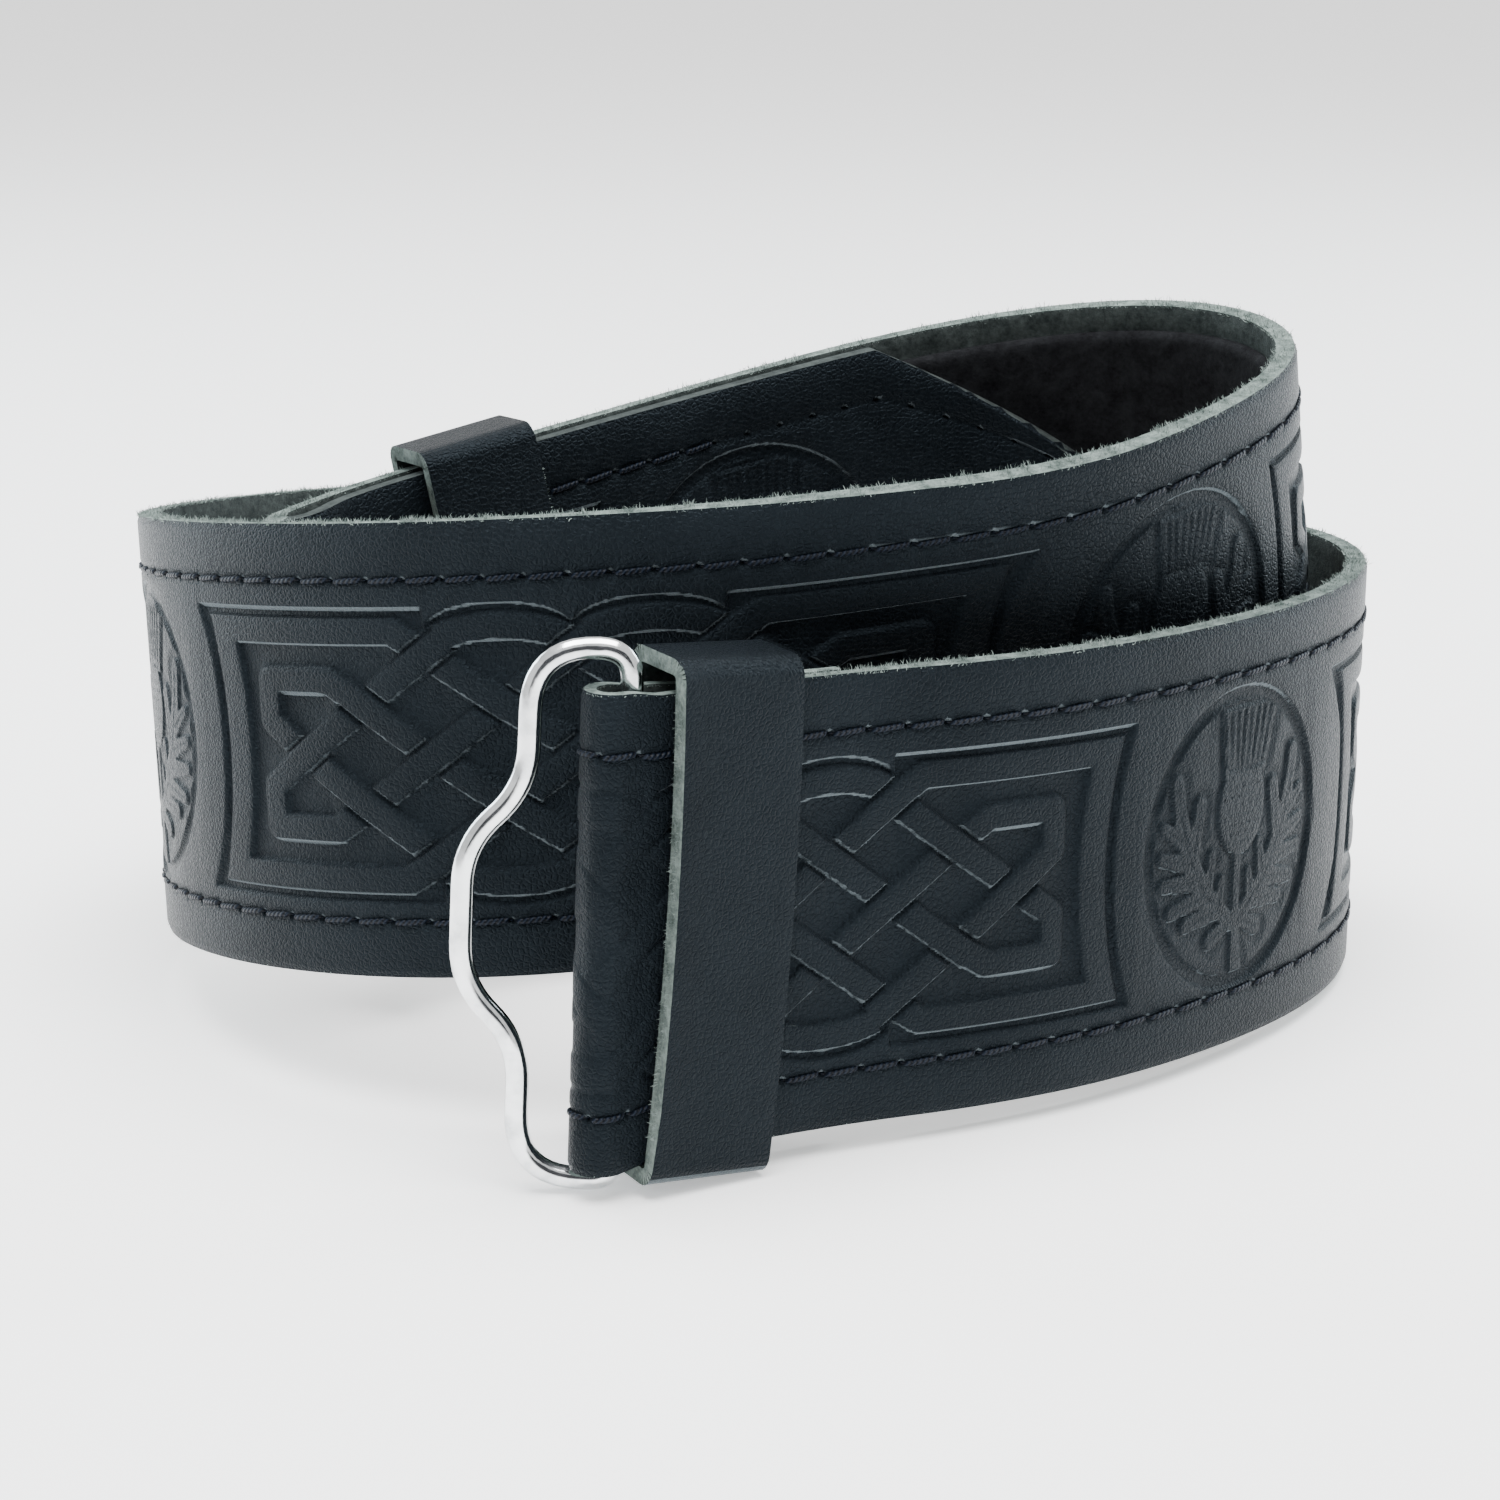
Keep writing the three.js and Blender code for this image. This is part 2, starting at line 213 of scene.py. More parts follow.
def stripPlaces(flapAt, frontAngles, coilAt, rearAngles, tailAt):
    # the strap's middle surface from the flap's end to the tail's tip, in one run
    size = coilPath
    wide = size["strapWidth"]
    barRoom = size["barSetback"] + size["foldHollow"] / 2
    barRoom += wide / 2 * math.sin(math.radians(size["wireTilt"]))
    frontRadius = size["frontFoldSpan"] / 2
    rearRadius = size["rearFoldSpan"] / 2
    frontLength = math.pi * (frontRadius + size["skivedThickness"] / 2)
    rearLength = math.pi * (rearRadius + size["strapThickness"] / 2)
    thin, thick = size["skivedThickness"], size["strapThickness"]

    def thickness(along):
        return thin + (thick - thin) * smooth((along - size["flapLength"]) / size["skiveTaper"])

    def width(along):
        return wide + 2 * size["foldFlare"] * (1 - smooth(along / size["flareLength"]))

    def leaning(across, ahead, along):
        # the front fold leans with the bar inside it
        share = math.tan(math.radians(size["foldSkew"])) * (1 - smooth(along / size["skewFade"]))
        return across + ahead * share[:, None]

    runs = []
    middle, ahead, inward, across = coilFrames(flapAt)
    across = leaning(across, ahead, flapAt)
    inset = layerInset(flapAt, barRoom, size["frontFoldSpan"], size["flapSpan"])
    runs.append((middle + inward * inset[:, None], across, thickness(flapAt), width(flapAt),
                 -frontLength - flapAt))
    middle, ahead, inward, across = coilFrames(np.zeros(len(frontAngles)))
    offset = inward * (frontRadius - frontRadius * np.cos(frontAngles))[:, None]
    offset = offset - ahead * (frontRadius * np.sin(frontAngles))[:, None]
    even = np.ones(len(frontAngles))
    across = leaning(across, ahead, even * 0)
    runs.append((middle + offset, across, even * thin, even * width(0.0),
                 -frontLength * frontAngles / math.pi))
    middle, ahead, inward, across = coilFrames(coilAt)
    across = leaning(across, ahead, coilAt)
    runs.append((middle, across, thickness(coilAt), width(coilAt), coilAt))
    middle, ahead, inward, across = coilFrames(np.full(len(rearAngles), size["coilLength"]))
    offset = inward * (rearRadius - rearRadius * np.cos(rearAngles))[:, None]
    offset = offset + ahead * (rearRadius * np.sin(rearAngles))[:, None]
    even = np.ones(len(rearAngles))
    runs.append((middle + offset, across, even * thick, even * wide,
                 size["coilLength"] + rearLength * rearAngles / math.pi))
    middle, ahead, inward, across = coilFrames(size["coilLength"] - tailAt)
    inset = layerInset(tailAt, 0, size["rearFoldSpan"], size["tailSpan"])
    share = np.minimum((size["tailLength"] - tailAt) / size["tipLength"], 1) ** size["tipCurve"]
    runs.append((middle + inward * inset[:, None], across, np.full(len(tailAt), float(thick)),
                 size["tipNose"] + (wide - size["tipNose"]) * share,
                 size["coilLength"] + rearLength + tailAt))
    middle, across, thickness, width, flatAlong = [np.concatenate(part) for part in zip(*runs)]
    tangent = np.gradient(middle, axis=0)
    outward = np.cross(tangent, across)
    outward /= np.linalg.norm(outward, axis=1, keepdims=True)
    return middle, outward, across, thickness, width, flatAlong


def stripRun(step):
    size = coilPath
    frontLength = math.pi * (size["frontFoldSpan"] + size["skivedThickness"]) / 2
    rearLength = math.pi * (size["rearFoldSpan"] + size["strapThickness"]) / 2
    count = lambda length: max(int(round(length / step)), 4)
    return stripPlaces(
        np.linspace(size["flapLength"], 0, count(size["flapLength"]) + 1),
        np.linspace(math.pi, 0, count(frontLength) + 1)[1:-1],
        np.linspace(0, size["coilLength"], count(size["coilLength"]) + 1),
        np.linspace(0, math.pi, count(rearLength) + 1)[1:-1],
        np.linspace(0, size["tailLength"], count(size["tailLength"]) + 1),
    )


def keeperWindow(span, layerThickness, tilt):
    # the space inside a keeper: inwards, then up across the strap
    size = keeperSizes
    skew = size["length"] * math.sin(math.radians(tilt)) / 2
    half = coilPath["strapWidth"] / 2 + skew
    return {"left": -layerThickness / 2 - size["slack"],
            "right": span + layerThickness / 2 + size["slack"],
            "bottom": -half - size["bottomSlack"], "top": half + size["topSlack"]}


def keeperBow(y, window):
    # how far a bowed keeper is pushed along the strap at a height
    share = (y - (window["bottom"] + window["top"]) / 2) / ((window["top"] - window["bottom"]) / 2)
    return keeperSizes["bow"] * (1 - 2 * share ** 2) + keeperSizes["sway"] * share


def keeperPlace(along, tilt):
    # turns a keeper's own x (inwards), y (across) and z (along) to its place on the coil
    middle, ahead, inward, across = [Vector(part[0]) for part in coilFrames(along)]
    turned = Matrix((inward, across, ahead)).transposed().to_4x4()
    turned = turned @ Matrix.Rotation(math.radians(tilt), 4, "X")
    return Matrix.Translation(middle) @ turned


frontWindow = keeperWindow(coilPath["frontFoldSpan"], coilPath["skivedThickness"],
                           keeperSizes["frontTilt"])
rearWindow = keeperWindow(coilPath["tailSpan"], coilPath["strapThickness"], 0)
frontKeeperPlace = keeperPlace(keeperSizes["frontPlace"], keeperSizes["frontTilt"])
rearKeeperPlace = keeperPlace(coilPath["coilLength"] - keeperSizes["rearPlace"], 0)


def coilToFrame():
    # the lean that the front keeper gives the coil, then the move to the strap's place
    size = keeperSizes
    foot = Vector((frontWindow["right"] + size["thickness"] - size["cornerRadius"],
                   frontWindow["bottom"] - size["thickness"], size["length"] / 2))
    foot = frontKeeperPlace @ foot
    parts = coilFrames(coilPath["coilLength"] * coilPath["flatStretch"] / 100)
    middle, ahead, inward, across = [Vector(part[0]) for part in parts]
    backward = -inward
    edge = middle + backward * coilPath["strapThickness"] / 2
    edge.z -= coilPath["strapWidth"] / 2
    depth = (edge - foot).dot(backward)
    axis = backward.cross(Vector((0, 0, 1)))
    lean = Matrix.Rotation(-math.atan2(edge.z - foot.z, depth), 3, axis)
    middle, outward, across, thickness, width = stripRun(3.0)[:5]
    corners = [middle + outward * (thickness * a)[:, None] + across * (width * b)[:, None]
               for a in (-0.5, 0.5) for b in (-0.5, 0.5)]
    leant = np.concatenate(corners) @ np.array(lean).T
    low, high = [np.array(corner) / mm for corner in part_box("strap")]
    shift = low - leant.min(axis=0)
    # the leaning fold reaches further forward than the solid, so the far side sets the depth
    shift[1] = high[1] - leant.max(axis=0)[1]
    return np.array(lean), shift


def runAt(along):
    # the strap's middle, outward and across, thickness and width at each flat place along it
    middle, outward, across, thickness, width, flatAlong = fineRun
    table = np.concatenate([middle, outward, across, thickness[:, None], width[:, None]], axis=1)
    row = np.stack([np.interp(along, flatAlong, column) for column in table.T], axis=-1)
    return row[..., 0:3], row[..., 3:6], row[..., 6:9], row[..., 9], row[..., 10]


fineRun = stripRun(0.5)
leanTurn, leanShift = coilToFrame()
coilMatrix = Matrix.Translation(Vector(leanShift)) @ Matrix(leanTurn.tolist()).to_4x4()


def toFrame(points):
    return np.asarray(points) @ leanTurn.T + leanShift


print("coil placed", leanShift.round(3))


# the pressed pattern
# A knot panel and a thistle medallion repeat along the strap. Heights are in millimetres, from a
# flat place: along the strap from the front fold and up from its lower edge.

pattern = {
    "period": 145, "panelCentre": 19, "middleHeight": 28, "depth": 0.62,
    "columns": 500, "spacing": 8.3, "rise": 6.4, "band": 3.1, "sideBand": 4.1, "gap": 0.95,
    "slope": 0.42, "lip": 0.55, "frameX": 46.2, "frameBow": 2.0, "frameY": 15.6, "frameTurn": 20.6,
    "arcTop": 16.1, "hookX": 38.4, "hookY": 9.4, "hookTurn": 29.4, "hookKnee": 4.1,
    "crossing": 2.9, "crossingReach": 0.6, "crownDrop": 0.05, "crownWidth": 0.7,
    "ringRadius": 19.3, "ringWidth": 1.9, "dish": 0.16, "stitchEdge": 7.1,
    # the leather stretched unevenly under the roller: place on the strap, place in the pattern
    "stretch": [(-60, -60), (68.5, 67.5), (72.8, 71.3), (90.3, 91.5), (108, 111.7), (117, 115.6),
                (160, 158), (345, 352), (393, 401.7), (399.8, 405.5), (454, 454), (508, 502.5),
                (517, 506.3), (534.5, 526.5), (554.5, 550.5), (600, 600), (900, 900)],
    "foldShare": 0.3,
}


def segmentDistance(x, y, a, b):
    a, b = np.array(a, float), np.array(b, float)
    run = b - a
    share = np.clip(((x - a[0]) * run[0] + (y - a[1]) * run[1]) / (run @ run), 0, 1)
    return np.hypot(x - a[0] - share * run[0], y - a[1] - share * run[1]), share


def lobe(x, y, a, b, startRadius, endRadius):
    # positive inside a bar with round ends
    distance, share = segmentDistance(x, y, a, b)
    return startRadius + (endRadius - startRadius) * share - distance


def knotLines():
    # half of the knot's lines, the rest being the same turned by half a turn
    size = pattern
    s, r = size["spacing"], size["rise"]
    arc = [(math.cos(a) * s, 2 * r + (size["arcTop"] - 2 * r) * math.sin(a))
           for a in np.linspace(math.pi, 0, 13)]
    rightArc = [(s + x, y) for x, y in arc]
    leftArc = [(x - s, y) for x, y in arc]
    top, turn = size["frameY"], size["frameTurn"]
    hookX, hookY, hookTurn, knee = (size[k] for k in ("hookX", "hookY", "hookTurn", "hookKnee"))
    return [
        [(-turn, -top), (-2 * s, -2 * r), (2 * s, 2 * r), (turn, top), (size["frameX"], top)],
        [(-size["frameX"], top), (-turn, top), (-2 * s, 2 * r), (0, 0)],
        rightArc, leftArc,
        [(2 * s, 2 * r), (4 * s, 0), (hookX, -knee), (hookX, -hookY), (hookTurn, -hookY),
         (3 * s, -r), (0, 2 * r)],
        [(0, -2 * r), (3 * s, r), (hookTurn, hookY), (hookX, hookY), (hookX, knee), (4 * s, 0),
         (2 * s, -2 * r)],
    ]


def knotHeight(x, y):
    size = pattern
    half = size["band"] / 2
    s, r = size["spacing"], size["rise"]
    inside = np.full(x.shape, -99.0)
    for line in knotLines():
        for ends in zip(line[:-1], line[1:]):
            for way in (1, -1):
                distance = segmentDistance(x, y, *(np.array(end) * way for end in ends))[0]
                inside = np.maximum(inside, half - distance)
    bow = size["frameX"] - size["frameBow"] * (1 - (y / size["frameY"]) ** 2)
    side = size["sideBand"] / 2 - np.abs(np.abs(x) - bow)
    inside = np.maximum(inside, np.minimum(side, size["frameY"] + half - np.abs(y)))
    # the strand that passes under another is cut short of it
    for i in range(-4, 5):
        for j in range(-2, 3):
            if (i + j) % 2 or abs(i) + abs(j) > 4 or (abs(i) == 4 and j):
                continue
            slope = r if i % 2 == 0 else -r
            run = np.array([s, slope]) / math.hypot(s, slope)
            dx, dy = x - i * s, y - j * r
            ahead = dx * run[0] + dy * run[1]
            aside = np.abs(dx * -run[1] + dy * run[0])
            near = np.abs(ahead) < size["crossing"]
            near &= aside < half + size["gap"] + size["crossingReach"]
            cut = np.maximum(half - aside, np.minimum(inside, aside - half - size["gap"]))
            inside = np.where(near, cut, inside)
    raised = smooth(1 + inside / size["slope"])
    # the ground is pressed down inside the frame and in a groove round it
    top = np.abs(y) - (size["frameY"] + half)
    arcs = np.abs(np.abs(x) - s)
    archTop = 2 * r + (size["arcTop"] - 2 * r) * np.sqrt(np.clip(1 - (arcs / s) ** 2, 0, 1)) + half
    top = np.where(np.abs(x) < 2 * s, np.abs(y) - archTop, top)
    outside = np.maximum(top, np.abs(x) - bow - size["sideBand"] / 2)
    ground = 1 - smooth((outside - size["gap"]) / size["lip"])
    crown = size["crownDrop"] * smooth(1 - inside / size["crownWidth"])
    return -ground * (size["depth"] * (1 - raised) + crown * raised)


thistle = {
    "headX": 0.9, "headY": 3.9, "headHalf": 5.3, "headHigh": 6.2, "headPoint": 0.05,
    "dimpleWide": 1.7, "dimpleHigh": 1.25, "dimpleShift": 0.85, "dimpleRadius": 0.55,
    "fanFoot": 9.0, "fanHigh": 8.2, "fanOverlap": 0.4, "fanX": 1.4, "fanLean": 0.9, "fanHalf": 4.8,
    "fanSpread": 1.7, "ribs": 4, "ribDepth": 0.34, "veinDepth": 0.26, "slope": 0.5,
    # leaf lobes on one side: root x and y, tip x and y, root and tip radius
    "leaves": [
        ((0.8, -11.3), (7.4, -6.2), 0.9, 1.3), ((7.4, -6.2), (11.2, -0.3), 1.3, 1.4),
        ((11.2, -0.3), (12.9, 5.0), 1.4, 1.1), ((13.0, 4.2), (13.8, 9.4), 1.0, 1.05),
        ((9.9, -0.4), (8.7, 5.8), 1.1, 1.0), ((12.2, 1.4), (16.4, 3.9), 1.0, 0.55),
        ((11.2, -1.6), (16.7, -0.2), 1.1, 0.6), ((9.8, -4.2), (16.4, -3.9), 1.1, 0.6),
        ((7.8, -6.6), (14.5, -7.8), 1.2, 0.7), ((4.4, -9.0), (11.2, -9.9), 1.2, 0.8),
        ((1.6, -11.4), (5.6, -13.0), 0.8, 1.0), ((6.4, -5.6), (5.7, -1.4), 0.9, 0.6),
        ((3.8, -8.4), (3.2, -5.2), 0.9, 0.6),
    ],
    "stem": [((0.2, -2), (0.2, -12), 0.65, 0.65), ((0.2, -12), (0.8, -18), 0.65, 1.25)],
}


def medallionHeight(x, y):
    size = pattern
    radius = np.hypot(x, y)
    inside = np.full(x.shape, -99.0)
    veins = np.zeros(x.shape)
    for root, tip, startRadius, endRadius in thistle["leaves"]:
        for way in (1, -1):
            a, b = (root[0] * way, root[1]), (tip[0] * way, tip[1])
            inside = np.maximum(inside, lobe(x, y, a, b, startRadius, endRadius))
            veins = np.maximum(veins, 1 - smooth(segmentDistance(x, y, a, b)[0] / 0.4))
    for part in thistle["stem"]:
        inside = np.maximum(inside, lobe(x, y, *part))
    # the head, an egg with its point down
    high, headY, headX = thistle["headHigh"], y - thistle["headY"], np.abs(x - thistle["headX"])
    headWide = thistle["headHalf"] * np.sqrt(np.clip(1 - (headY / high) ** 2, 0, 1))
    headWide = headWide * (1 + thistle["headPoint"] * headY / high)
    head = np.minimum(headWide - headX, high - np.abs(headY))
    head = np.where(np.abs(headY) < high, head, -np.hypot(headX, np.abs(headY) - high))
    wide, tall = thistle["dimpleWide"], thistle["dimpleHigh"]
    stagger = (np.floor((y + 40) / tall) % 2) * thistle["dimpleShift"]
    dimple = np.hypot((x + 40 + stagger) % wide - wide / 2, (y + 40) % tall - 0.62)
    dimples = np.where(head > 0.5, 1 - smooth(dimple / thistle["dimpleRadius"]), 0)
    # the fan of bristles above it
    foot, fanHigh = thistle["fanFoot"], thistle["fanHigh"]
    share = np.clip((y - foot) / fanHigh, 0, 1)
    fanWide = thistle["fanHalf"] + thistle["fanSpread"] * share
    fanX = x - thistle["fanX"] - thistle["fanLean"] * share
    fan = np.minimum(foot + fanHigh - y, y - foot + thistle["fanOverlap"])
    fan = np.minimum(fanWide - np.abs(fanX), fan)
    rib = np.abs((fanX / fanWide * thistle["ribs"]) % 1 - 0.5) * fanWide / thistle["ribs"]
    ribs = np.where(fan > 0, smooth((rib - 0.28) / 0.35), 0)
    inside = np.maximum(inside, np.maximum(head, fan))
    neck = (1 - smooth(np.abs(y - foot - 0.3) / 0.5)) * (fan > 0)
    raised = smooth(1 + inside / thistle["slope"])
    shoulder = 0.55 * smooth((-inside - 0.4) / 1.8)
    within = 1 - smooth((radius - size["ringRadius"] + 1.2) / 0.8)
    carved = size["depth"] * 0.8 * (1 - raised) * (1 - shoulder)
    lines = np.maximum(ribs, np.maximum(neck, dimples * 0.9))
    carved = np.maximum(carved, thistle["ribDepth"] * lines)
    leafVeins = veins * (inside > 0.3) * (head < -0.4) * (fan < -0.4)
    carved = np.maximum(carved, thistle["veinDepth"] * leafVeins)
    ring = np.abs(radius - size["ringRadius"]) - size["ringWidth"] / 2
    groove = size["depth"] * 0.9 * (1 - smooth((ring + 0.25) / 0.5))
    return -np.maximum(within * np.maximum(carved, size["dish"]), groove)


def patternTile(heights):
    # one repeat of the pattern, as rows of height along the strap
    size = pattern
    along = (np.arange(size["columns"]) / size["columns"] - 0.5) * size["period"]
    x, y = np.meshgrid(along, heights - size["middleHeight"], indexing="ij")
    fromMedallion = np.where(x < 0, x + size["period"] / 2, x - size["period"] / 2)
    return knotHeight(x, y) + medallionHeight(fromMedallion, y)


# leather strap

strapLook = {"coarseRows": [0, 0.3, 0.9, 2.4, 4.2, 5.6, 6.1, 6.6, 7.1, 7.6, 8.1],
             "innerRows": [57, 56.5, 55, 46, 38, 28.5, 19, 11, 2, 0.5, 0],
             "grooveDepth": 0.22, "grooveHalf": 0.2, "grooveSlope": 0.7,
             "holeDepth": 0.9, "holeHalf": 0.25, "holeSlope": 0.4,
             "edgeRound": 0.3, "edgeWidth": 0.9, "fleshRound": 0.25, "fleshWidth": 0.6,
             "tipFade": 3, "foldFade": (1, 9), "triangles": 190000, "creaseAngle": 32,
             "sideFacing": 0.6, "edgeReach": 0.5, "backReach": 0.2, "tailEdgeShadeFrom": 8}
stitching = {"pitch": 5.2, "length": 5.0, "radius": 0.38, "sides": 6, "rings": 9, "slant": 0.18,
             "rise": 0.16, "dip": 0.8, "thin": 0.45, "flatten": 0.8, "sink": 0.6,
             "start": 3, "end": 45}


def buildStrap():
    look = strapLook
    wide = coilPath["strapWidth"]
    step = pattern["period"] / pattern["columns"]
    low = np.array(look["coarseRows"])
    fine = np.arange(low[-1] + step, wide - low[-1] - step / 2, step)
    rows = np.concatenate([low, fine, (wide - low)[::-1]])
    middle, outward, across, thickness, width, flatAlong = stripRun(step)
    tile = patternTile(rows)
    onStrap, inPattern = np.array(pattern["stretch"]).T
    pressed = np.interp(flatAlong, onStrap, inPattern)
    place = (pressed - pattern["panelCentre"]) / pattern["period"] + 0.5
    column = place % 1 * pattern["columns"]
    first = np.floor(column).astype(int) % pattern["columns"]
    part = (column - np.floor(column))[:, None]
    height = tile[first] * (1 - part) + tile[(first + 1) % pattern["columns"]] * part
    tailEnd = flatAlong.max() - coilPath["tipLength"]
    height *= 1 - smooth((flatAlong - tailEnd) / look["tipFade"] + 1)[:, None]
    foldStart, foldLength = look["foldFade"]
    fade = smooth((flatAlong - foldStart) / foldLength)[:, None]
    height *= pattern["foldShare"] + (1 - pattern["foldShare"]) * fade
    fromEdge = np.minimum(rows, wide - rows)
    fromRow = fromEdge - pattern["stitchEdge"]
    groove = 1 - smooth((np.abs(fromRow) - look["grooveHalf"]) / look["grooveSlope"])
    height = np.minimum(height, -look["grooveDepth"] * groove[None, :])
    # the needle's holes between the stitches
    pitch = stitching["pitch"]
    hole = (flatAlong + coilPath["flapLength"] - stitching["start"] + pitch) % pitch
    hole = np.hypot(np.abs(hole - pitch / 2)[:, None], fromRow[None, :])
    hole = 1 - smooth((hole - look["holeHalf"]) / look["holeSlope"])
    height = np.minimum(height, -look["holeDepth"] * hole)
    height = height - look["edgeRound"] * (1 - smooth(fromEdge / look["edgeWidth"]))[None, :]
    aside = (rows[None, :] - wide / 2) * (width / wide)[:, None]
    outer = middle[:, None] + across[:, None] * aside[..., None]
    outer = outer + outward[:, None] * (thickness[:, None] / 2 + height)[..., None]
    innerRows = np.array(look["innerRows"])
    aside = (innerRows[None, :] - wide / 2) * (width / wide)[:, None]
    innerEdge = np.minimum(innerRows, wide - innerRows)
    rounding = look["fleshRound"] * (1 - smooth(innerEdge / look["fleshWidth"]))
    depth = thickness[:, None] / 2 - rounding[None, :]
    inner = middle[:, None] + across[:, None] * aside[..., None]
    inner = inner - outward[:, None] * depth[..., None]
    points = np.concatenate([outer, inner], axis=1)
    ring = points.shape[1]
    flat = np.zeros((len(middle), ring, 2))
    flat[..., 0] = flatAlong[:, None]
    flat[..., 1] = np.concatenate([rows, innerRows])[None, :]
    share = np.linspace(0, 1, len(innerRows))
    outerPick = np.round(np.interp(share, rows / wide, np.arange(len(rows)))).astype(int)
    quads = closedGrid(len(middle), ring, outerPick)
    points = toFrame(points.reshape(-1, 3))
    strap = meshFromArrays("strapLeather", points, quads, flat.reshape(-1, 2))
    applyModifier(strap, "DECIMATE", ratio=look["triangles"] / (2 * len(quads)))
    return strap


def strapParts(strap):
    # leather outside 0, cut edges 1 and flesh inside 2, told apart by where each face lies
    mesh = strap.data
    faces = len(mesh.polygons)
    centres = np.empty(faces * 3)
    normals = np.empty(faces * 3)
    mesh.polygons.foreach_get("center", centres)
    mesh.polygons.foreach_get("normal", normals)
    centres, normals = centres.reshape(-1, 3) / mm, normals.reshape(-1, 3)
    uv = np.empty(len(mesh.loops) * 2)
    mesh.uv_layers["flatPlace"].data.foreach_get("uv", uv)
    start = np.empty(faces, np.int32)
    mesh.polygons.foreach_get("loop_start", start)
    flatAlong = uv.reshape(-1, 2)[start, 0] / mm
    middle, outward, across, _, width, runAlong = fineRun
    nearest = np.clip(np.searchsorted(runAlong, flatAlong), 0, len(runAlong) - 1)
    outward, across = outward[nearest] @ leanTurn.T, across[nearest] @ leanTurn.T
    middle = toFrame(middle[nearest])
    aside = np.abs(((centres - middle) * across).sum(axis=1))
    out = ((centres - middle) * outward).sum(axis=1)
    facing = (normals * outward).sum(axis=1)
    sideFacing = strapLook["sideFacing"]
    kinds = np.where(facing < -sideFacing, 2, 0)
    atEdge = aside > width[nearest] / 2 - strapLook["edgeReach"]
    kinds[(np.abs(facing) <= sideFacing) & atEdge] = 1
    kinds[(out < -strapLook["backReach"]) & (kinds == 0)] = 1
    # painted shade: the tail's cut edge, in shade inside the coil, gets the dark flesh-side colour
    kinds[(kinds == 1) & (flatAlong > coilPath["coilLength"] + strapLook["tailEdgeShadeFrom"])] = 2
    mesh.polygons.foreach_set("material_index", kinds.astype(np.int32))


strapLeather = buildStrap()
print("strap pressed", len(strapLeather.data.polygons), "triangles")


# stitching

def buildStitches(name, fromLowerEdge):
    size = stitching
    bpy.ops.object.select_all(action="DESELECT")
    bpy.ops.mesh.primitive_cylinder_add(vertices=size["sides"], radius=size["radius"],
                                        depth=size["length"], end_fill_type="NOTHING",
                                        rotation=(0, math.pi / 2, 0))
    one = bpy.context.object
    bpy.ops.object.transform_apply(location=False, rotation=True, scale=False)
    pickEdges(one.data, 0)
    bpy.ops.mesh.subdivide(number_cuts=size["rings"] - 2)
    bpy.ops.object.mode_set(mode="OBJECT")
    corners = np.array([v.co[:] for v in one.data.vertices])
    faces = np.array([p.vertices[:] for p in one.data.polygons])
    bpy.data.objects.remove(one)
    # thin ends that dive into their holes, and a slight slant
    share = corners[:, 0] / (size["length"] / 2)
    thin = 1 - size["thin"] * np.abs(share) ** 4
    corners[:, 1] = corners[:, 1] * thin + size["slant"] * share
    dip = size["dip"] * np.abs(share) ** 7
    corners[:, 2] = corners[:, 2] * thin * size["flatten"] + size["rise"] - dip
    starts = np.arange(size["start"] - coilPath["flapLength"],
                       coilPath["coilLength"] + coilPath["tailLength"] - size["end"], size["pitch"])
    along = starts[:, None] + corners[None, :, 0]
    middle, outward, across, thickness, width = runAt(along)
    wide = coilPath["strapWidth"]
    aside = (fromLowerEdge - wide / 2 + corners[None, :, 1]) * width / wide
    out = thickness / 2 + corners[None, :, 2] - strapLook["grooveDepth"] * size["sink"]
    points = middle + outward * out[..., None] + across * aside[..., None]
    quads = (faces[None] + (np.arange(len(starts)) * len(corners))[:, None, None]).reshape(-1, 4)
    aside = np.broadcast_to(corners[None, :, 1], along.shape)
    flat = np.stack([along - starts[:, None], aside], axis=2)
    return meshFromArrays(name, toFrame(points.reshape(-1, 3)), quads, flat.reshape(-1, 2))


topStitches = buildStitches("topStitches", coilPath["strapWidth"] - pattern["stitchEdge"])
bottomStitches = buildStitches("bottomStitches", pattern["stitchEdge"])
print("stitches sewn", len(topStitches.data.polygons) * 2, "faces")


# loose fibres on the cut edges

fibres = {"count": 26000, "lowCount": 4000, "rimCount": 2600, "tufts": 1500, "spread": 0.5,
          "length": (0.25, 0.9), "width": 0.09, "lean": 0.9, "seed": 11,
          "wornLength": 9, "wornShare": 0.35}


def hairMesh(name, root, way, long, random):
    # flat hairs of two quads each: root, knee and tip
    count = len(root)
    way = way / np.linalg.norm(way, axis=1, keepdims=True)
    tip = root + way * long[:, None]
    aside = np.cross(way, random.normal(0, 1, (count, 3)))
    aside *= fibres["width"] / 2 / np.linalg.norm(aside, axis=1, keepdims=True)
    knee = root + way * (long * 0.55)[:, None] + random.normal(0, 0.07, (count, 3))
    points = np.stack([root - aside, root + aside, knee + aside, knee - aside,
                       tip + aside * 0.3, tip - aside * 0.3], axis=1).reshape(-1, 3)
    base = np.arange(count)[:, None] * 6
    quads = np.concatenate([base + np.array([[0, 1, 2, 3]]), base + np.array([[3, 2, 4, 5]])])
    points = toFrame(points)
    points[:, 2] = np.maximum(points[:, 2], 0.03)
    return meshFromArrays(name, points, quads)


